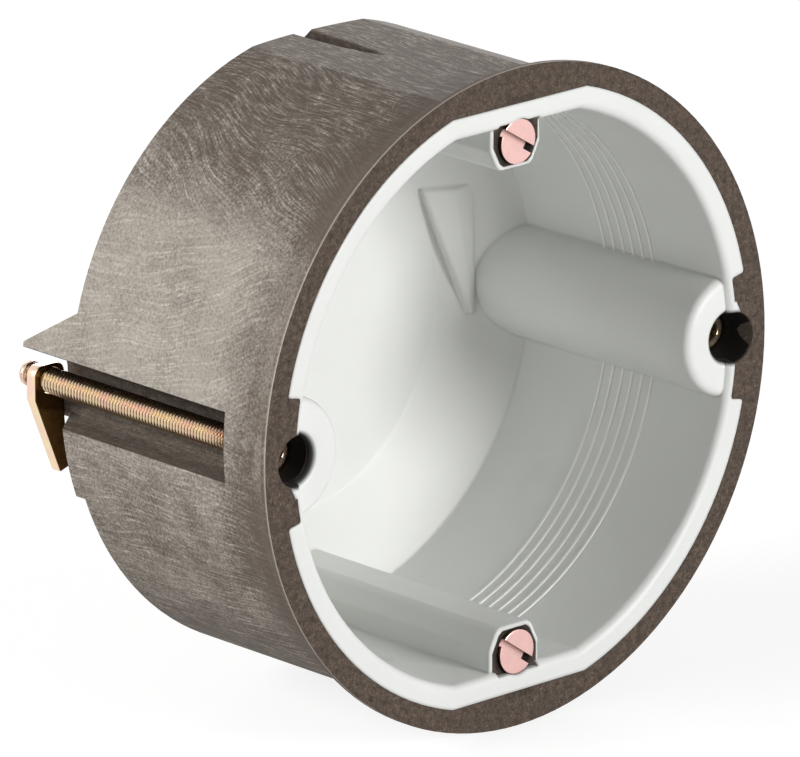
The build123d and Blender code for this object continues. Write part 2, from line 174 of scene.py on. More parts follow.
class ScrewSizes(bpy.types.PropertyGroup):
    pitch: FloatProperty(
        name="Thread pitch", description="Distance from one thread to the next",
        unit="LENGTH", default=0.5 * MM)
    depth: FloatProperty(
        name="Thread depth", description="Height of the thread over its root",
        unit="LENGTH", default=0.3 * MM)
    head_thick: FloatProperty(
        name="Slotted head", description="Straight edge of a slotted head",
        unit="LENGTH", default=0.5 * MM)
    head_edge: FloatProperty(
        name="Head edge", description="Round at the edge of a slotted head",
        unit="LENGTH", default=0.07 * MM)
    slot_width: FloatProperty(
        name="Slot width", description="Width of the driver's slot",
        unit="LENGTH", default=0.9 * MM)
    slot_depth: FloatProperty(
        name="Slot depth", description="Depth of the driver's slot",
        unit="LENGTH", default=1.0 * MM)
    face_depth: FloatProperty(
        name="Face depth", description="Depth of a slotted head's face behind the rim's plane",
        unit="LENGTH", default=0.3 * MM)
    device_shank: FloatProperty(
        name="Device screw", description="Radius of the slotted screws' thread",
        unit="LENGTH", default=1.6 * MM)
    turn_top: FloatProperty(
        name="Turn of the top slot", description="How far the top slot falls to the right",
        subtype="ANGLE", default=math.radians(32))
    turn_bottom: FloatProperty(
        name="Turn of the bottom slot", description="How far the bottom slot falls to the right",
        subtype="ANGLE", default=math.radians(35))
    fixing_head: FloatProperty(
        name="Cross head", description="Thickness of a fixing screw's head",
        unit="LENGTH", default=2 * MM)
    tip_dome: FloatProperty(
        name="Tip dome", description="Round at a fixing screw's tip",
        unit="LENGTH", default=1.1 * MM)
    copper: FloatVectorProperty(
        name="Copper plate", description="Colour of the copper-plated heads",
        subtype="COLOR", default=linear("#E4BAB4"))
    zinc: FloatVectorProperty(
        name="Yellow zinc", description="Colour of the yellow-passivated zinc",
        subtype="COLOR", default=linear("#F0DBB6"))
    blush: FloatVectorProperty(
        name="Blush", description="Colour of the pink clouds in the passivation",
        subtype="COLOR", default=linear("#F1CDBB"))
    # Also the colour of painted shade: on a claw's flat faces, with painted dark reflection, and on
    # the slotted heads' slot walls and edges
    root: FloatVectorProperty(
        name="Dark passivation",
        description="Colour deep in the thread and on the flat faces of a claw",
        subtype="COLOR", default=linear("#6E5230"))


class ClawSizes(bpy.types.PropertyGroup):
    edge: FloatProperty(
        name="Edge", description="Round that blanking leaves at a claw's edges",
        unit="LENGTH", default=0.2 * MM)
    corner: FloatProperty(
        name="Corner", description="Round of a claw's corners",
        unit="LENGTH", default=1.2 * MM)
    hole: FloatProperty(
        name="Hole", description="Radius of the hole for the screw",
        unit="LENGTH", default=1.58 * MM)
    points: IntProperty(
        name="Outline points", description="Points round a claw's outline", default=200)


class StageSettings(bpy.types.PropertyGroup):
    camera: FloatVectorProperty(
        name="Camera", description="Where the camera stands",
        subtype="TRANSLATION", unit="LENGTH", default=(-0.88626, -0.92853, 0.40430))
    aim: FloatVectorProperty(
        name="Aim", description="Point at the middle of the picture",
        subtype="TRANSLATION", unit="LENGTH", default=(-0.00914, 0.00988, 0.00209))
    lens: FloatProperty(
        name="Lens", description="Focal length on a sensor 36 mm wide, in millimetres", default=540)
    front_power: FloatProperty(
        name="Front lamp", description="Power of the lamp before the opening",
        unit="POWER", default=9.8)
    side_power: FloatProperty(
        name="Side lamp", description="Power of the lamp at the left", unit="POWER", default=13)
    back_power: FloatProperty(
        name="Back lamp", description="Power of the lamp behind, at the right",
        unit="POWER", default=8)
    sky: FloatProperty(
        name="Sky", description="Strength of the even light from all round", default=0.16)


# Materials

def where_all(tree, masks):
    """The masks' product, which holds where all of them do."""
    whole = masks[0]
    for mask in masks[1:]:
        whole = add_node(tree, "ShaderNodeMath", {0: whole, 1: mask},
                         operation="MULTIPLY").outputs["Value"]
    return whole


def where_any(tree, masks):
    """The highest of the masks, which holds where one of them does."""
    whole = masks[0]
    for mask in masks[1:]:
        whole = add_node(tree, "ShaderNodeMath", {0: whole, 1: mask},
                         operation="MAXIMUM").outputs["Value"]
    return whole


def from_middle(tree, mm):
    """Distance from the box's own axis, which runs along its depth."""
    across = add_node(tree, "ShaderNodeVectorMath", {0: mm, 1: (1, 0, 1)}, operation="MULTIPLY")
    return add_node(tree, "ShaderNodeVectorMath", {0: across.outputs["Vector"]},
                    operation="LENGTH").outputs["Value"]


def from_screws(tree, folded, other, axis):
    """Distance from the nearer one of two screws that stand at plus and minus the axis value:
    the root of (folded - axis) squared plus other squared, where folded has lost its sign."""
    off = add_node(tree, "ShaderNodeMath", {0: folded, 1: axis}, operation="SUBTRACT")
    arm = add_node(tree, "ShaderNodeCombineXYZ", {"X": off.outputs["Value"], "Z": other})
    return add_node(tree, "ShaderNodeVectorMath", {0: arm.outputs["Vector"]},
                    operation="LENGTH").outputs["Value"]


def seen_directly(tree):
    """1 for what the camera sees, also in metal or through glass, and 0 for the light itself."""
    rays = add_node(tree, "ShaderNodeLightPath")
    seen = add_node(tree, "ShaderNodeMath", {0: rays.outputs["Is Camera Ray"],
                                             1: rays.outputs["Is Glossy Ray"]}, operation="ADD")
    return add_node(tree, "ShaderNodeMath",
                    {0: seen.outputs["Value"], 1: rays.outputs["Is Transmission Ray"]},
                    operation="ADD", use_clamp=True).outputs["Value"]


def streaks(tree, mm, slope, sway, width, length, seed):
    """Noise drawn out along the depth. Before that it is turned about the depth's axis by the
    slope times the depth over the body's radius, which lays it at that slope, and by a slow
    noise times the sway, which bends it."""
    depth = add_node(tree, "ShaderNodeSeparateXYZ", {"Vector": mm}).outputs["Y"]
    moved = add_node(tree, "ShaderNodeVectorMath", {0: mm, 1: seed}, operation="ADD")
    slow = add_node(tree, "ShaderNodeTexNoise",
                    {"Vector": moved.outputs["Vector"], "Scale": 1 / 20, "Detail": 1.0})
    bend = add_node(tree, "ShaderNodeMath",
                    {0: slow.outputs["Fac"], 1: 2 * sway, 2: -sway}, operation="MULTIPLY_ADD")
    turn = add_node(tree, "ShaderNodeMath",
                    {0: depth, 1: slope / BODY_RADIUS, 2: bend.outputs["Value"]},
                    operation="MULTIPLY_ADD")
    turned_mm = add_node(tree, "ShaderNodeVectorRotate",
                         {"Vector": mm, "Axis": (0, 1, 0), "Angle": turn.outputs["Value"]})
    drawn = add_node(tree, "ShaderNodeVectorMath",
                     {0: turned_mm.outputs["Vector"],
                      1: (0.5 / width, 0.5 / length, 0.5 / width), 2: seed},
                     operation="MULTIPLY_ADD")
    return add_node(tree, "ShaderNodeTexNoise",
                    {"Vector": drawn.outputs["Vector"], "Scale": 1.0, "Detail": 2.0,
                     "Roughness": 0.55}).outputs["Fac"]


def pressed_skin(tree, mm, look, place, high, grain):
    """The skin's colour, and the ragged edges of its bands from the screws up. Blotches of 2 to
    6 mm and the grain make up the skin. It is whole above the screws. Towards the flats it gives
    way to the binder, partly real wear and partly painted shade on the top and the bottom; below
    the screws it is darker still, painted shade on the underside; and it darkens next to the
    flange."""
    blotch = add_node(tree, "ShaderNodeTexNoise",
                      {"Vector": mm, "Scale": 0.17, "Detail": 3.0, "Roughness": 0.6})
    ground = add_node(tree, "ShaderNodeMath",
                      {0: blotch.outputs["Fac"], 1: 0.6, 2: grain}, operation="MULTIPLY_ADD")
    ragged = add_node(tree, "ShaderNodeMath",
                      {0: blotch.outputs["Fac"], 1: RAGGED, 2: place["Z"]},
                      operation="MULTIPLY_ADD")
    edges = [add_node(tree, "ShaderNodeMapRange",
                      {"Value": ragged.outputs["Value"], "From Min": edge + RAGGED / 2,
                       "From Max": edge + RAGGED / 2 + 3.0}).outputs["Result"]
             for edge in BAND_EDGES]
    whole = add_node(tree, "ShaderNodeMath", {0: edges[0], 1: edges[1]}, operation="SUBTRACT")
    # Towards the flats the skin gives way to the binder: partly real wear, partly painted shade on
    # the top and the bottom
    wear_and_painted_shade = add_node(tree, "ShaderNodeMapRange",
                    {"Value": high, "From Min": BAND_EDGES[1], "From Max": 33.0,
                     "To Min": 0.12, "To Max": 0.50}, interpolation_type="SMOOTHSTEP")
    wear_and_painted_shade = add_node(tree, "ShaderNodeMath",
                    {0: whole.outputs["Value"], 1: -0.20, 2: wear_and_painted_shade.outputs["Result"]},
                    operation="MULTIPLY_ADD")
    # Darker next to the flange, and painted shade on the underside below the screws
    flange = add_node(tree, "ShaderNodeMapRange",
                      {"Value": place["Y"], "From Min": 5.0, "From Max": 12.0,
                       "To Min": 0.30, "To Max": 0.0})
    under = add_node(tree, "ShaderNodeMapRange",
                     {"Value": place["Z"], "From Min": -16.0, "From Max": -3.0,
                      "To Min": 0.13, "To Max": 0.0})
    for more in (flange, under):
        wear_and_painted_shade = add_node(tree, "ShaderNodeMath",
                        {0: wear_and_painted_shade.outputs["Value"], 1: more.outputs["Result"]}, operation="ADD")
    left = add_node(tree, "ShaderNodeMath",
                    {0: ground.outputs["Value"], 1: wear_and_painted_shade.outputs["Value"]},
                    operation="SUBTRACT")
    share = add_node(tree, "ShaderNodeMapRange",
                     {"Value": left.outputs["Value"], "From Min": 0.40, "From Max": 0.98})
    skin = add_node(tree, "ShaderNodeMix",
                    {"Factor": share.outputs["Result"], "A": (*look.binder, 1),
                     "B": (*look.skin, 1)}, data_type="RGBA")
    return skin.outputs["Result"], edges


def fibres(tree, mm, look, edges, grain):
    """Share of fibres and scuffs. In the band above the screws they climb towards the front, in
    the next one they fall steeply, and elsewhere they lie along the depth. Short ones cross them
    all, the grain breaks them, and patches of about 2 mm have fewer."""
    width, length = look.streak_width / MM, look.streak_length / MM
    total = None
    for slope, sway, reach, low, top, seed in (
            (0.0, 0.6, 1.0, None, edges[0], (3.1, 7.7, 1.3)),
            (0.30, 1.0, 1.2, edges[0], edges[1], (5.9, 1.7, 9.3)),
            (-0.42, 1.1, 0.8, edges[1], edges[2], (8.3, 4.1, 2.9)),
            (-0.08, 0.7, 0.5, edges[2], None, (1.9, 6.1, 4.7))):
        masks = [add_node(tree, "ShaderNodeMapRange",
                          {"Value": streaks(tree, mm, slope, sway * look.sway, width,
                                            reach * length, seed),
                           "From Min": 0.45, "From Max": 0.72}).outputs["Result"]]
        if low is not None:
            masks.append(low)
        if top is not None:
            masks.append(add_node(tree, "ShaderNodeMath", {0: 1.0, 1: top},
                                  operation="SUBTRACT").outputs["Value"])
        band = where_all(tree, masks)
        total = band if total is None else add_node(
            tree, "ShaderNodeMath", {0: total, 1: band}, operation="ADD").outputs["Value"]
    crossing = add_node(tree, "ShaderNodeMapRange",
                        {"Value": streaks(tree, mm, -0.45, 2 * look.sway, width, 0.3 * length,
                                          (11.9, 2.3, 8.1)),
                         "From Min": 0.56, "From Max": 0.84})
    broken = add_node(tree, "ShaderNodeMapRange",
                      {"Value": grain, "From Min": 0.36, "From Max": 0.64,
                       "To Min": 0.25, "To Max": 1.0})
    patches = add_node(tree, "ShaderNodeTexNoise",
                       {"Vector": mm, "Scale": 0.55, "Detail": 3.0, "Roughness": 0.65})
    cover = add_node(tree, "ShaderNodeMapRange",
                     {"Value": patches.outputs["Fac"], "From Min": 0.38, "From Max": 0.64,
                      "To Min": 0.4, "To Max": 1.0})
    lines = where_any(tree, [total, crossing.outputs["Result"]])
    return where_all(tree, [lines, broken.outputs["Result"], cover.outputs["Result"]])


def bare_and_dark(tree, place, high, wide, middle):
    """Two masks: where the skin is trimmed off, and painted shade where hardly any light comes.
    Trimmed are the ring in front, the side slots' walls, the grooves in the flats and the posts
    round the upright pair of screws; below the slots' screws some skin is mixed in, so the slots
    are painted darker upwards. Painted shade darkens the bores of the other pair, the posts'
    throats, the roofs of the slots above their screws and, less so, the grooves."""
    to_fixing = from_screws(tree, wide, place["Z"], FIXING_AXIS)
    to_device = from_screws(tree, high, place["X"], DEVICE_AXIS)
    masks = {}
    for name, value, test, limit in (
            ("front", place["Y"], "LESS_THAN", 0.05),
            ("behind_flange", place["Y"], "GREATER_THAN", SLOT_FRONT - 0.05),
            ("slot_height", high, "LESS_THAN", SLOT_HALF + 0.06),
            ("slot_reach", wide, "GREATER_THAN", SLOT_INNER),
            ("groove_width", wide, "LESS_THAN", GROOVE_HALF),
            ("flat", high, "GREATER_THAN", FLAT_HEIGHT - 2.5),
            ("bore_width", to_fixing, "LESS_THAN", BORE_REACH),
            ("in_body", middle, "LESS_THAN", BODY_RADIUS - 0.1),
            ("in_flange", place["Y"], "LESS_THAN", SLOT_FRONT - 0.1),
            ("post_width", to_device, "LESS_THAN", POST_REACH),
            ("post_depth", place["Y"], "LESS_THAN", 6.0)):
        masks[name] = add_node(tree, "ShaderNodeMath", {0: value, 1: limit},
                               operation=test).outputs["Value"]
    # Of these ramps, those for the slots' walls, their roofs and the posts' throats set painted
    # shade
    for name, value, start, end, first, last in (
            ("past_front", place["Y"], 0.05, 0.35, 0.0, 1.0),
            ("wall_painted_shade", place["Z"], -1.0, 2.0, 0.72, 1.0),
            ("roof_painted_shadow", place["Z"], 0.0, 2.0, 0.0, 0.8),
            ("groove_depth", high, FLAT_HEIGHT - 0.3, FLAT_HEIGHT - 0.05, 1.0, 0.0),
            ("throat_painted_shade", to_device, 2.7, 3.6, 0.9, 0.12)):
        masks[name] = add_node(tree, "ShaderNodeMapRange",
                               {"Value": value, "From Min": start, "From Max": end,
                                "To Min": first, "To Max": last}).outputs["Result"]
    joined = {}
    for name, parts in (
            ("slot", ("behind_flange", "slot_height", "slot_reach")),
            ("groove", ("groove_width", "groove_depth", "flat")),
            ("bore", ("bore_width", "in_body", "past_front", "in_flange")),
            ("post", ("post_width", "post_depth", "past_front"))):
        joined[name] = where_all(tree, [masks[part] for part in parts])
    bare = where_any(tree, [masks["front"], where_all(tree, [joined["slot"], masks["wall_painted_shade"]]),
                            joined["groove"], joined["post"]])
    # Painted shade: the bores, the posts' throats, the slots' roofs and, less so, the grooves
    dark = where_any(tree, [joined["bore"],
                            where_all(tree, [joined["post"], masks["throat_painted_shade"]]),
                            where_all(tree, [joined["slot"], masks["roof_painted_shadow"]]),
                            where_all(tree, [joined["groove"], 0.35])])
    return bare, dark


def intumescent(look):
    """Pressed intumescent composite: a dull brown binder under a thin grey skin, with fine pale
    fibres and scuffs along the flow of the pressing, so the eye sees soft graphite-like streaks
    that bend, and patches where the skin is rubbed through to the binder. The real fibres are
    finer than the streaks, which are as coarse as they need to be to show. Where the skin is
    trimmed off, the binder shows, dark brown with small light specks. Painted shade darkens the
    bores, the posts' throats and the slots, and a painted highlight lines the flange's front edge."""
    material, tree, mm = new_material("intumescent_composite_pressed")
    place = add_node(tree, "ShaderNodeSeparateXYZ", {"Vector": mm}).outputs
    high, wide = (add_node(tree, "ShaderNodeMath", {0: place[way]},
                           operation="ABSOLUTE").outputs["Value"] for way in ("Z", "X"))
    middle = from_middle(tree, mm)
    # Grain of a sixth of a millimetre
    grain = add_node(tree, "ShaderNodeTexNoise",
                     {"Vector": mm, "Scale": 3.0, "Detail": 2.0, "Roughness": 0.7}).outputs["Fac"]
    skin, edges = pressed_skin(tree, mm, look, place, high, grain)
    specks = fibres(tree, mm, look, edges, grain)
    # Fibres thin out on the flange
    plain = add_node(tree, "ShaderNodeMapRange",
                     {"Value": place["Y"], "From Min": 4.5, "From Max": 9.0,
                      "To Min": 0.15, "To Max": 0.85})
    drawn = where_all(tree, [specks, plain.outputs["Result"]])
    streaked = add_node(tree, "ShaderNodeMix",
                        {"Factor": drawn, "A": skin, "B": (*look.fibre, 1)}, data_type="RGBA")

    # Painted highlight: a pale line of a quarter of a millimetre along the flange's front edge
    outer = add_node(tree, "ShaderNodeMath", {0: middle, 1: FLANGE_RADIUS - 0.35},
                     operation="GREATER_THAN")
    edge = add_node(tree, "ShaderNodeMapRange",
                    {"Value": place["Y"], "From Min": 0.12, "From Max": 0.38,
                     "To Min": 0.5, "To Max": 0.0})
    painted_edge_highlight = where_all(tree, [outer.outputs["Value"], edge.outputs["Result"]])
    edged = add_node(tree, "ShaderNodeMix",
                     {"Factor": painted_edge_highlight, "A": streaked.outputs["Result"],
                      "B": (*look.fibre, 1)}, data_type="RGBA")

    # Specks of half a millimetre in the trimmed binder
    flecks = add_node(tree, "ShaderNodeTexNoise",
                      {"Vector": mm, "Scale": 1.3, "Detail": 3.0, "Roughness": 0.7})
    speckle = add_node(tree, "ShaderNodeMapRange",
                       {"Value": flecks.outputs["Fac"], "From Min": 0.32, "From Max": 0.68,
                        "To Min": 0.5, "To Max": 1.6})
    speckle = add_node(tree, "ShaderNodeMath",
                       {0: specks, 1: 2.2, 2: speckle.outputs["Result"]},
                       operation="MULTIPLY_ADD")
    binder = add_node(tree, "ShaderNodeVectorMath",
                      {0: tuple(look.cut), "Scale": speckle.outputs["Value"]},
                      operation="SCALE")
    bare, dark = bare_and_dark(tree, place, high, wide, middle)
    trimmed = add_node(tree, "ShaderNodeMix",
                       {"Factor": bare, "A": edged.outputs["Result"],
                        "B": binder.outputs["Vector"]}, data_type="RGBA")
    # Painted shade: the dark mask mixes in the near-black bore colour
    colour = add_node(tree, "ShaderNodeMix",
                      {"Factor": dark, "A": trimmed.outputs["Result"],
                       "B": (*look.bore, 1)}, data_type="RGBA")

    height = add_node(tree, "ShaderNodeMath", {0: drawn, 1: grain}, operation="ADD")
    relief = add_node(tree, "ShaderNodeBump",
                      {"Height": height.outputs["Value"], "Strength": 0.35,
                       "Distance": 0.06 * MM})
    shader = add_node(tree, "ShaderNodeBsdfPrincipled",
                      {"Base Color": colour.outputs["Result"], "Roughness": 0.75,
                       "Specular IOR Level": 0.2, "Normal": relief.outputs["Normal"]})
    finish_material(tree, shader)
    return material


def ridge_masks(tree, mm, place):
    """The band that holds the fine ridges at the right, and the ridges in it, whose crests get a
    painted highlight. Depth less the first ridge's, in steps of the pitch, has a fraction near a
    half at each ridge."""
    middle = from_middle(tree, mm)
    steps = add_node(tree, "ShaderNodeMath",
                     {0: place["Y"], 1: RIDGE_FIRST - RIDGE_PITCH / 2}, operation="SUBTRACT")
    steps = add_node(tree, "ShaderNodeMath", {0: steps.outputs["Value"], 1: 1 / RIDGE_PITCH},
                     operation="MULTIPLY").outputs["Value"]
    band = where_all(tree, [
        add_node(tree, "ShaderNodeMath", {0: value, 1: limit}, operation=test).outputs["Value"]
        for value, limit, test in ((steps, 0.0, "GREATER_THAN"),
                                   (steps, RIDGE_COUNT, "LESS_THAN"),
                                   (place["X"], RIDGE_SIDE, "GREATER_THAN"),
                                   (middle, RIDGE_RADIUS[0], "GREATER_THAN"),
                                   (middle, RIDGE_RADIUS[1], "LESS_THAN"))])
    step = add_node(tree, "ShaderNodeMath", {0: steps}, operation="FRACT")
    crest = add_node(tree, "ShaderNodeMath",
                     {0: step.outputs["Value"], 1: 0.5, 2: RIDGE_HALF / RIDGE_PITCH},
                     operation="COMPARE")
    return band, where_all(tree, [crest.outputs["Value"], band])


def polypropylene(look):
    """Moulded white polypropylene: an even pale colour with a soft gloss, edges rounded by the
    mould, and only the faint unevenness that a satin mould leaves. The fine ridges at the right
    get a painted highlight on their crests, and the thin edge round each bore gets painted shade
    that turns it nearly black at the bore."""
    material, tree, mm = new_material("polypropylene_moulded_white")
    place = add_node(tree, "ShaderNodeSeparateXYZ", {"Vector": mm}).outputs
    cloud = add_node(tree, "ShaderNodeTexNoise", {"Vector": mm, "Scale": 1 / 9, "Detail": 2.0})
    shade = add_node(tree, "ShaderNodeMapRange",
                     {"Value": cloud.outputs["Fac"], "From Min": 0.3, "From Max": 0.7,
                      "To Min": 0.97, "To Max": 1.0})
    wide = add_node(tree, "ShaderNodeMath", {0: place["X"]}, operation="ABSOLUTE")
    # Painted shade: the liner darkens to near black at the thin edge round each bore
    painted_lip_shade = add_node(tree, "ShaderNodeMapRange",
                   {"Value": from_screws(tree, wide.outputs["Value"], place["Z"], FIXING_AXIS),
                    "From Min": 3.0, "From Max": 3.45, "To Min": 0.03, "To Max": 1.0})
    tint = add_node(tree, "ShaderNodeVectorMath",
                    {0: tuple(look.colour),
                     "Scale": where_all(tree, [shade.outputs["Result"], painted_lip_shade.outputs["Result"]])},
                    operation="SCALE")
    band, ridge = ridge_masks(tree, mm, place)
    # Painted highlight: the ridges' crests at the right take the pale ridge colour
    tint = add_node(tree, "ShaderNodeMix",
                    {"Factor": ridge, "A": tint.outputs["Vector"], "B": (*look.ridge, 1)},
                    data_type="RGBA")
    # The mould rounds every edge but those of the ridges, which are too fine for it
    rounded = add_node(tree, "ShaderNodeBevel", {"Radius": look.round}, samples=6)
    true_normal = add_node(tree, "ShaderNodeNewGeometry").outputs["Normal"]
    # A vector Mix takes its two vectors at sockets 4 and 5 and gives one at 1
    normal = add_node(tree, "ShaderNodeMix",
                      {"Factor": band, 4: rounded.outputs["Normal"], 5: true_normal},
                      data_type="VECTOR")
    grain = add_node(tree, "ShaderNodeTexNoise", {"Vector": mm, "Scale": 2.5, "Detail": 3.0})
    relief = add_node(tree, "ShaderNodeBump",
                      {"Height": grain.outputs["Fac"], "Strength": 0.12, "Distance": 0.02 * MM,
                       "Normal": normal.outputs[1]})
    shader = add_node(tree, "ShaderNodeBsdfPrincipled",
                      {"Base Color": tint.outputs["Result"], "Roughness": 0.42, "IOR": 1.49,
                       "Normal": relief.outputs["Normal"]})
    finish_material(tree, shader)
    return material


def copper_plate(sizes):
    """Steel with a thin bright copper plate, barrelled: a pale pink metal, softly scratched."""
    material, tree, mm = new_material("steel_copper_plated")
    cloud = add_node(tree, "ShaderNodeTexNoise", {"Vector": mm, "Scale": 1.1, "Detail": 3.0})
    tone = add_node(tree, "ShaderNodeMapRange",
                    {"Value": cloud.outputs["Fac"], "From Min": 0.3, "From Max": 0.7,
                     "To Min": 0.92, "To Max": 1.0})
    colour = add_node(tree, "ShaderNodeVectorMath",
                      {0: tuple(sizes.copper), "Scale": tone.outputs["Result"]},
                      operation="SCALE")
    # Painted shade: the slot's walls and the head's edge, between the face and the slot's floor,
    # are painted dark
    depth = add_node(tree, "ShaderNodeSeparateXYZ", {"Vector": mm}).outputs["Y"]
    walls = add_node(tree, "ShaderNodeMath",
                     {0: depth, 1: sizes.face_depth / MM + 0.5 * sizes.slot_depth / MM,
                      2: 0.42 * sizes.slot_depth / MM}, operation="COMPARE")
    colour = add_node(tree, "ShaderNodeMix",
                      {"Factor": walls.outputs["Value"], "A": colour.outputs["Vector"],
                       "B": (*sizes.root, 1)}, data_type="RGBA")
    marks = add_node(tree, "ShaderNodeTexNoise", {"Vector": mm, "Scale": 6.0, "Detail": 4.0})
    rough = add_node(tree, "ShaderNodeMapRange",
                     {"Value": marks.outputs["Fac"], "To Min": 0.26, "To Max": 0.40})
    relief = add_node(tree, "ShaderNodeBump",
                      {"Height": marks.outputs["Fac"], "Strength": 0.2, "Distance": 0.01 * MM})
    shader = add_node(tree, "ShaderNodeBsdfPrincipled",
                      {"Base Color": colour.outputs["Result"], "Metallic": 1.0,
                       "Roughness": rough.outputs["Result"],
                       "Normal": relief.outputs["Normal"]})
    finish_material(tree, shader)
    return material


def yellow_zinc(name, sizes, threaded):
    """Zinc-plated steel with a yellow chromate passivation: a pale brassy metal with pink clouds
    a few millimetres wide and a satin gloss. In a thread the passivation gathers at the root
    and is darkest there. A claw's flat faces are painted darker than its edges, painted shade and
    painted dark reflection."""
    material, tree, mm = new_material(name)
    cloud = add_node(tree, "ShaderNodeTexNoise", {"Vector": mm, "Scale": 0.45, "Detail": 2.0})
    turn = add_node(tree, "ShaderNodeMapRange",
                    {"Value": cloud.outputs["Fac"], "From Min": 0.40, "From Max": 0.62})
    colour = add_node(tree, "ShaderNodeMix",
                      {"Factor": turn.outputs["Result"], "A": (*sizes.zinc, 1),
                       "B": (*sizes.blush, 1)}, data_type="RGBA")
    if threaded:
        place = add_node(tree, "ShaderNodeSeparateXYZ", {"Vector": mm}).outputs
        wide = add_node(tree, "ShaderNodeMath", {0: place["X"]}, operation="ABSOLUTE")
        crest = add_node(tree, "ShaderNodeMapRange",
                         {"Value": from_screws(tree, wide.outputs["Value"], place["Z"],
                                               FIXING_AXIS),
                          "From Min": SHANK_RADIUS - sizes.depth / MM,
                          "From Max": SHANK_RADIUS - 0.03})
        colour = add_node(tree, "ShaderNodeMix",
                          {"Factor": crest.outputs["Result"], "A": (*sizes.root, 1),
                           "B": colour.outputs["Result"]}, data_type="RGBA")
    else:
        depth = add_node(tree, "ShaderNodeSeparateXYZ", {"Vector": mm}).outputs["Y"]
        low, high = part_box("claw_left")
        # Painted shade and painted dark reflection: a claw's flat faces take the dark passivation
        # colour, its edges keep the zinc
        edges_free_of_painted_shade = add_node(tree, "ShaderNodeMath",
                         {0: depth, 1: (low[1] + high[1]) / 2 / MM,
                          2: (high[1] - low[1]) / 2 / MM - 0.06}, operation="COMPARE")
        colour = add_node(tree, "ShaderNodeMix",
                          {"Factor": edges_free_of_painted_shade.outputs["Value"], "A": (*sizes.root, 1),
                           "B": colour.outputs["Result"]}, data_type="RGBA")
    marks = add_node(tree, "ShaderNodeTexNoise", {"Vector": mm, "Scale": 5.0, "Detail": 4.0})
    rough = add_node(tree, "ShaderNodeMapRange",
                     {"Value": marks.outputs["Fac"], "To Min": 0.18, "To Max": 0.30})
    relief = add_node(tree, "ShaderNodeBump",
                      {"Height": marks.outputs["Fac"], "Strength": 0.1, "Distance": 0.01 * MM})
    shader = add_node(tree, "ShaderNodeBsdfPrincipled",
                      {"Base Color": colour.outputs["Result"], "Metallic": 1.0,
                       "Roughness": rough.outputs["Result"],
                       "Normal": relief.outputs["Normal"]})
    finish_material(tree, shader)
    return material


def floor_card():
    """Matt white studio card: the camera sees it white, a shade darker in the object's shadow."""
    material, tree, _ = new_material("card_white_matt")
    plain = add_node(tree, "ShaderNodeBsdfDiffuse", {"Color": (0.6, 0.6, 0.6, 1)})
    faint = add_node(tree, "ShaderNodeBsdfDiffuse", {"Color": (0.30, 0.30, 0.30, 1)})
    glow = add_node(tree, "ShaderNodeEmission", {"Color": (1, 1, 1, 1), "Strength": 0.8})
    white = add_node(tree, "ShaderNodeAddShader", {0: faint.outputs[0], 1: glow.outputs[0]})
    shader = add_node(tree, "ShaderNodeMixShader",
                      {"Fac": seen_directly(tree), 1: plain.outputs[0], 2: white.outputs[0]})
    finish_material(tree, shader)
    return material


# Surfaces

def grid(points, closed_rows=False):
    """Faces of a grid of points, whose columns close on themselves. Points are numbered row by
    row, so point (i, j) is i times the columns plus j. Open rows get a fan at each end."""
    rows, columns = points.shape[:2]
    i, j = np.meshgrid(np.arange(rows if closed_rows else rows - 1), np.arange(columns),
                       indexing="ij")
    after = (j + 1) % columns
    below = (i + 1) % rows
    quads = np.stack([i * columns + j, i * columns + after,
                      below * columns + after, below * columns + j], axis=-1).reshape(-1, 4)
    vertices = points.reshape(-1, 3)
    fans = np.empty((0, 3), int)
    if not closed_rows:
        ring = np.arange(columns)
        step = np.roll(ring, -1)
        middles = np.stack([points[0].mean(axis=0), points[-1].mean(axis=0)])
        first, last = len(vertices), len(vertices) + 1
        base = (rows - 1) * columns
        fans = np.concatenate([
            np.stack([step, ring, np.full(columns, first)], axis=-1),
            np.stack([base + ring, base + step, np.full(columns, last)], axis=-1)])
        vertices = np.concatenate([vertices, middles])
    return vertices, quads, fans


def make_piece(name, surfaces, material, body, node, crease=35):
    """One object of several closed surfaces, which stands for a solid of the frame."""
    vertices, faces = [], []
    count = 0
    for points, quads, fans in surfaces:
        vertices.append(points)
        faces += (quads + count).tolist() + (fans + count).tolist()
        count += len(points)
    mesh = bpy.data.meshes.new(name)
    mesh.from_pydata(np.concatenate(vertices).tolist(), [], faces)
    whole = bmesh.new()
    whole.from_mesh(mesh)
    bmesh.ops.remove_doubles(whole, verts=whole.verts, dist=1e-7)
    bmesh.ops.dissolve_degenerate(whole, edges=whole.edges, dist=1e-7)
    bmesh.ops.recalc_face_normals(whole, faces=whole.faces)
    whole.to_mesh(mesh)
    whole.free()
    mesh.shade_smooth()
    mesh.set_sharp_from_angle(angle=math.radians(crease))
    piece = bpy.data.objects.new(name, mesh)
    bpy.context.scene.collection.objects.link(piece)
    mesh.materials.append(material)
    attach(piece, body)
    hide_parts(node)
    return piece


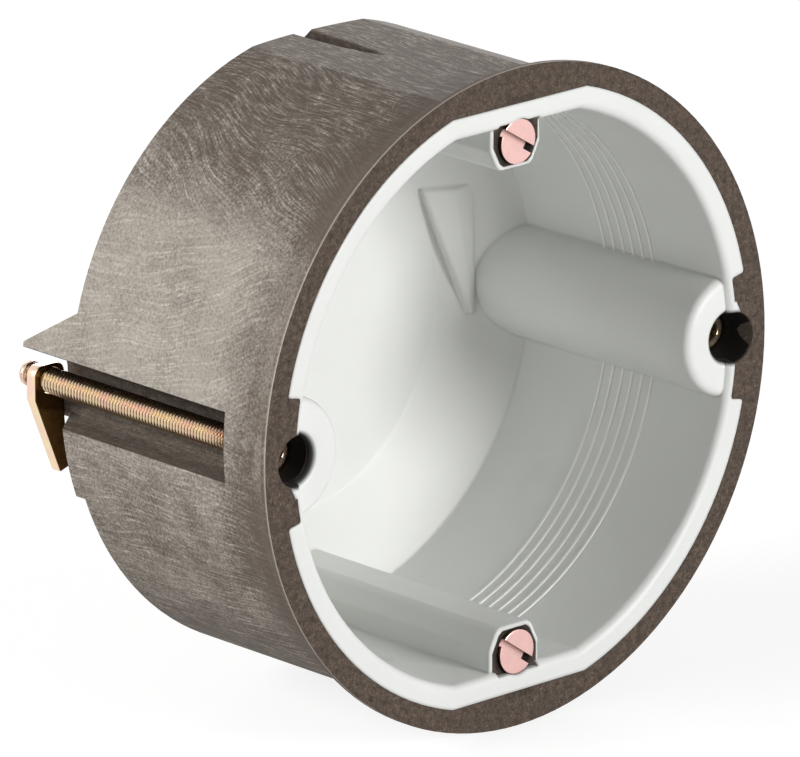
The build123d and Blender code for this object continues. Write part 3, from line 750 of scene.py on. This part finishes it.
def thread(axis, start, end, radius, dome, sizes, around=32, along=10):
    """Threaded shaft. The radius falls from the crest by the depth times a wave of the distance
    along over the pitch less the turn. Over the last dome's length it stays inside a quarter
    circle of that radius, and the thread runs out there."""
    rows = int(round((end - start) / sizes.pitch * along)) + 1
    arc = end - dome + dome * np.sin(np.linspace(0, math.pi / 2, 16))
    y = np.unique(np.concatenate([np.linspace(start, end, rows), arc]))[:, None]
    turn = np.linspace(0, 1, around, endpoint=False)[None, :]
    phase = (y / sizes.pitch - turn) % 1
    edges_free_of_painted_shade = np.clip(np.abs(2 * phase - 1) * 1.35 - 0.1, 0, 1)
    r = radius - sizes.depth * edges_free_of_painted_shade * np.clip((end - 0.4 * dome - y) / dome, 0, 1)
    past = np.clip(y - (end - dome), 0, dome)
    r = np.minimum(r, radius - dome + np.sqrt(dome ** 2 - past ** 2))
    angle = 2 * math.pi * turn
    points = np.stack([axis[0] + r * np.cos(angle), y + 0 * r, axis[1] + r * np.sin(angle)],
                      axis=-1)
    return grid(points)


def screw_head(axis, face, radius, edge, sink, under, reach, lines, turn, steps=30):
    """Round head with a recess. Sections stand across it at the distances u, each as wide as the
    chord there, the root of the radius squared less u squared. Over each lies the face, sunk by
    the edge's round near the rim and by the recess, and below it the underside. The lines are u
    values where the recess begins or ends: there two sections share a place, one outside and one
    inside, and a section inside ends at the recess's reach from the middle."""
    u = radius * np.sin(np.linspace(-math.pi / 2, math.pi / 2, steps))
    inside = np.abs(u) < (lines[-1] if len(lines) else 0)
    u = np.concatenate([u, lines, lines])
    inside = np.concatenate([inside, np.zeros(len(lines), bool), np.ones(len(lines), bool)])
    order = np.lexsort((np.where(u < 0, inside, ~inside), u))
    u, inside = u[order][:, None], inside[order][:, None]
    chord = np.sqrt(np.maximum(np.where(inside, reach, radius) ** 2 - u ** 2, 0))
    v = chord * np.sin(np.linspace(-math.pi / 2, math.pi / 2, steps))[None, :]
    past = np.clip(np.hypot(u, v) - (radius - edge), 0, edge)
    top = np.maximum(edge - np.sqrt(edge ** 2 - past ** 2), sink(u, v, inside))
    below = np.maximum(under(np.hypot(u, v)), top)
    across = np.concatenate([u + 0 * v, u + 0 * v], axis=1)
    along = np.concatenate([v, v[:, ::-1]], axis=1)
    depth = np.concatenate([top, below[:, ::-1]], axis=1)
    x = axis[0] + along * math.cos(turn) + across * math.sin(turn)
    z = axis[1] - along * math.sin(turn) + across * math.cos(turn)
    return grid(np.stack([x, face + depth, z], axis=-1))


def plate_outline(corners, rounds, count):
    """Closed outline with rounded corners, at even steps along it, and its outward normals."""
    corners = np.array(corners, float)
    before, after = np.roll(corners, 1, axis=0), np.roll(corners, -1, axis=0)
    path = []
    for corner, a, b, r in zip(corners, before, after, rounds):
        to_a, to_b = (way / np.linalg.norm(way) for way in (a - corner, b - corner))
        half = math.acos(np.clip(to_a @ to_b, -1, 1)) / 2
        reach = r / math.tan(half)
        centre = corner + (to_a + to_b) / np.linalg.norm(to_a + to_b) * r / math.sin(half)
        first, last = corner + to_a * reach - centre, corner + to_b * reach - centre
        sweep = math.pi - 2 * half
        t = np.linspace(0, 1, 9)[:, None]
        path.append(centre + (np.sin((1 - t) * sweep) * first + np.sin(t * sweep) * last)
                    / math.sin(sweep))
    path = np.concatenate(path)
    closed = np.vstack([path, path[:1]])
    run = np.concatenate([[0], np.cumsum(np.linalg.norm(np.diff(closed, axis=0), axis=1))])
    at = np.linspace(0, run[-1], count, endpoint=False)
    points = np.stack([np.interp(at, run, closed[:, k]) for k in (0, 1)], axis=-1)
    along = np.roll(points, -1, axis=0) - np.roll(points, 1, axis=0)
    normals = np.stack([along[:, 1], -along[:, 0]], axis=-1)
    normals /= np.linalg.norm(normals, axis=1)[:, None]
    outwards = np.sign((normals * points).sum())
    return points, normals * outwards


# A claw's corners, each from the screw's axis: outwards negative and inwards positive, then up
CLAW_CORNERS = ((-2.5, 1.9), (-2.5, -2.0), (1.2, -11.2), (2.7, -10.7), (2.0, -4.8), (2.0, 1.9))


def claw_plate(axis, front, thick, side, sizes):
    """Flat plate round a hole. At each point of the outline a closed section runs from the hole
    out to the edge, round it by two quarter circles, and back to the hole."""
    edge, hole, count = sizes.edge, sizes.hole, sizes.points
    small = 0.25 * MM
    rounds = np.array([sizes.corner, small, small, small, small, sizes.corner])
    outline, normals = plate_outline(np.array(CLAW_CORNERS) * MM, rounds, count)
    angle = np.arctan2(outline[:, 1], outline[:, 0])
    ring = hole * np.stack([np.cos(angle), np.sin(angle)], axis=-1)
    inset = outline - edge * normals
    quarter = np.linspace(0, math.pi / 2, 5)
    parts = [(ring, 0.0), (ring + 0.5 * (inset - ring), 0.0)]
    parts += [(inset + edge * math.sin(a) * normals, edge - edge * math.cos(a)) for a in quarter]
    parts += [(inset + edge * math.cos(a) * normals, thick - edge + edge * math.sin(a))
              for a in quarter]
    parts += [(ring + 0.5 * (inset - ring), thick), (ring, thick)]
    flat = np.stack([p for p, _ in parts], axis=1)
    depth = np.stack([np.full(count, d) for _, d in parts], axis=1)
    x = axis[0] + side * -flat[..., 0]
    z = axis[1] - side * flat[..., 1]
    return grid(np.stack([x, front + depth, z], axis=-1), closed_rows=True)


# Operators

class BACKBOX_OT_shell(bpy.types.Operator):
    """Gives the intumescent shell its pressed, streaked finish"""
    bl_idname = "backbox.shell"
    bl_label = "Shell"

    def execute(self, context):
        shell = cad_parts["intumescent_shell"]
        shell.data.materials.clear()
        shell.data.materials.append(intumescent(context.scene.backbox_shell))
        return {"FINISHED"}


class BACKBOX_OT_liner(bpy.types.Operator):
    """Gives the moulded liner its white plastic"""
    bl_idname = "backbox.liner"
    bl_label = "Liner"

    def execute(self, context):
        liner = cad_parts["inner_liner"]
        liner.data.materials.clear()
        liner.data.materials.append(polypropylene(context.scene.backbox_liner))
        return {"FINISHED"}


class BACKBOX_OT_device_screws(bpy.types.Operator):
    """Makes the two slotted screws that hold the device, with their threads"""
    bl_idname = "backbox.device_screws"
    bl_label = "Device screws"

    def execute(self, context):
        sizes = context.scene.backbox_screws
        plate = copper_plate(sizes)
        half, shank = sizes.slot_width / 2, sizes.device_shank

        def slot(u, v, inside):
            return np.where(inside, sizes.slot_depth, 0.0) + 0 * v

        for end, turn in (("top", sizes.turn_top), ("bottom", sizes.turn_bottom)):
            node = f"device_screw_{end}"
            low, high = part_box(node)
            axis = ((low[0] + high[0]) / 2, (low[2] + high[2]) / 2)
            radius = (high[0] - low[0]) / 2
            neck = sizes.head_thick + radius - shank

            def cone(r):
                return np.minimum(sizes.head_thick + radius - r, neck)

            reach = radius - (sizes.slot_depth - sizes.head_thick)
            head = screw_head(axis, low[1], radius, sizes.head_edge, slot, cone, reach,
                              np.array([-half, half]), turn)
            shaft = thread(axis, low[1] + neck, high[1], shank, 0.4 * MM, sizes,
                           around=24, along=8)
            make_piece(f"slotted_screw_{end}", [head, shaft], plate, node, node)
        return {"FINISHED"}


class BACKBOX_OT_fixing_screws(bpy.types.Operator):
    """Makes the two long threaded screws that draw the claws forward"""
    bl_idname = "backbox.fixing_screws"
    bl_label = "Fixing screws"

    def execute(self, context):
        sizes = context.scene.backbox_screws
        zinc = yellow_zinc("zinc_plate_yellow_rolled_thread", sizes, True)

        # Two crossed slots, whose walls and ends slope down to a flat floor
        def cross(u, v, inside):
            arm = np.minimum(np.abs(u), np.abs(v))
            reach = np.hypot(u, v)
            walls = np.clip((0.36 * MM - arm) / (0.12 * MM), 0, 1)
            ends = np.clip((1.5 * MM - reach) / (0.35 * MM), 0, 1)
            return 1.1 * MM * walls * ends

        for side in ("left", "right"):
            node = f"fixing_screw_{side}"
            low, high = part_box(node)
            axis = ((low[0] + high[0]) / 2, (low[2] + high[2]) / 2)
            radius = (high[0] - low[0]) / 2
            head = screw_head(axis, low[1], radius, 0.4 * MM, cross,
                              lambda r: sizes.fixing_head + 0 * r, radius, np.array([]),
                              turn=math.radians(20), steps=60)
            shaft = thread(axis, low[1] + sizes.fixing_head, high[1], SHANK_RADIUS * MM,
                           sizes.tip_dome, sizes)
            make_piece(f"clamping_screw_{side}", [head, shaft], zinc, node, node)
        return {"FINISHED"}


class BACKBOX_OT_claws(bpy.types.Operator):
    """Makes the two blanked claws with their softened edges"""
    bl_idname = "backbox.claws"
    bl_label = "Claws"

    def execute(self, context):
        sizes = context.scene.backbox_claws
        zinc = yellow_zinc("zinc_plate_yellow_passivated", context.scene.backbox_screws, False)
        for name, side in (("left", -1), ("right", 1)):
            node = f"claw_{name}"
            low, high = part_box(node)
            screw_low, screw_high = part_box(f"fixing_screw_{name}")
            axis = ((screw_low[0] + screw_high[0]) / 2, (screw_low[2] + screw_high[2]) / 2)
            plate = claw_plate(axis, low[1], high[1] - low[1], side, sizes)
            make_piece(f"blanked_claw_{name}", [plate], zinc, node, node, 50)
        return {"FINISHED"}


class BACKBOX_OT_stage(bpy.types.Operator):
    """Sets the white floor, the soft studio lamps, the sky and the camera"""
    bl_idname = "backbox.stage"
    bl_label = "Stage"

    def execute(self, context):
        scene = context.scene
        stage = scene.backbox_stage
        scene.view_settings.view_transform = "Standard"
        low = cad_box[0]
        reach = 4.0
        card = bpy.data.meshes.new("floor")
        card.from_pydata([(-reach, -reach, low[2]), (reach, -reach, low[2]),
                          (reach, reach, low[2]), (-reach, reach, low[2])], [], [(0, 1, 2, 3)])
        floor = bpy.data.objects.new("floor", card)
        scene.collection.objects.link(floor)
        card.materials.append(floor_card())
        for name, place, size, power in (
                ("front_lamp", (0.25, -1.0, 0.22), 0.45, stage.front_power),
                ("side_lamp", (-1.0, 0.42, 0.5), 0.7, stage.side_power),
                ("back_lamp", (0.8, 0.85, 0.12), 0.7, stage.back_power)):
            lamp = bpy.data.lights.new(name, "AREA")
            lamp.shape = "DISK"
            lamp.size = size
            lamp.energy = power
            holder = bpy.data.objects.new(name, lamp)
            holder.location = place
            holder.rotation_mode = "QUATERNION"
            holder.rotation_quaternion = (-Vector(place)).to_track_quat("-Z", "Y")
            scene.collection.objects.link(holder)
        world = bpy.data.worlds.new("studio")
        world.use_nodes = True
        tree = world.node_tree
        tree.nodes.clear()
        strength = add_node(tree, "ShaderNodeMapRange",
                            {"Value": seen_directly(tree), "To Min": stage.sky, "To Max": 1.0})
        sky = add_node(tree, "ShaderNodeBackground",
                       {"Color": (1, 1, 1, 1), "Strength": strength.outputs["Result"]})
        add_node(tree, "ShaderNodeOutputWorld", {"Surface": sky.outputs[0]})
        scene.world = world
        lens = bpy.data.cameras.new("camera")
        lens.sensor_width = 36
        lens.lens = stage.lens
        camera = bpy.data.objects.new("camera", lens)
        camera.location = stage.camera
        camera.rotation_mode = "QUATERNION"
        look = Vector(stage.aim) - Vector(stage.camera)
        camera.rotation_quaternion = look.to_track_quat("-Z", "Y")
        scene.collection.objects.link(camera)
        scene.camera = camera
        return {"FINISHED"}


class BACKBOX_PT_panel(bpy.types.Panel):
    bl_idname = "BACKBOX_PT_panel"
    bl_label = "Back Box"
    bl_space_type = "VIEW_3D"
    bl_region_type = "UI"
    bl_category = "Back Box"

    def draw(self, context):
        for group, operators in PANEL_ROWS:
            box = self.layout.box()
            settings = getattr(context.scene, group)
            for name in settings.__annotations__:
                box.prop(settings, name)
            for operator in operators:
                box.operator(operator.bl_idname)


PANEL_ROWS = (("backbox_shell", [BACKBOX_OT_shell]), ("backbox_liner", [BACKBOX_OT_liner]),
              ("backbox_screws", [BACKBOX_OT_device_screws, BACKBOX_OT_fixing_screws]),
              ("backbox_claws", [BACKBOX_OT_claws]), ("backbox_stage", [BACKBOX_OT_stage]))
SETTINGS = {"backbox_shell": ShellLook, "backbox_liner": LinerLook, "backbox_screws": ScrewSizes,
            "backbox_claws": ClawSizes, "backbox_stage": StageSettings}
CLASSES = (ShellLook, LinerLook, ScrewSizes, ClawSizes, StageSettings, BACKBOX_OT_shell,
           BACKBOX_OT_liner, BACKBOX_OT_device_screws, BACKBOX_OT_fixing_screws,
           BACKBOX_OT_claws, BACKBOX_OT_stage, BACKBOX_PT_panel)


def register():
    for cls in CLASSES:
        bpy.utils.register_class(cls)
    for name, group in SETTINGS.items():
        setattr(bpy.types.Scene, name, PointerProperty(type=group))


def unregister():
    for name in SETTINGS:
        delattr(bpy.types.Scene, name)
    for cls in reversed(CLASSES):
        bpy.utils.unregister_class(cls)


def main():
    register()
    bpy.ops.backbox.shell()
    bpy.ops.backbox.liner()
    bpy.ops.backbox.device_screws()
    bpy.ops.backbox.fixing_screws()
    bpy.ops.backbox.claws()
    bpy.ops.backbox.stage()


if __name__ == "__main__":
    main()
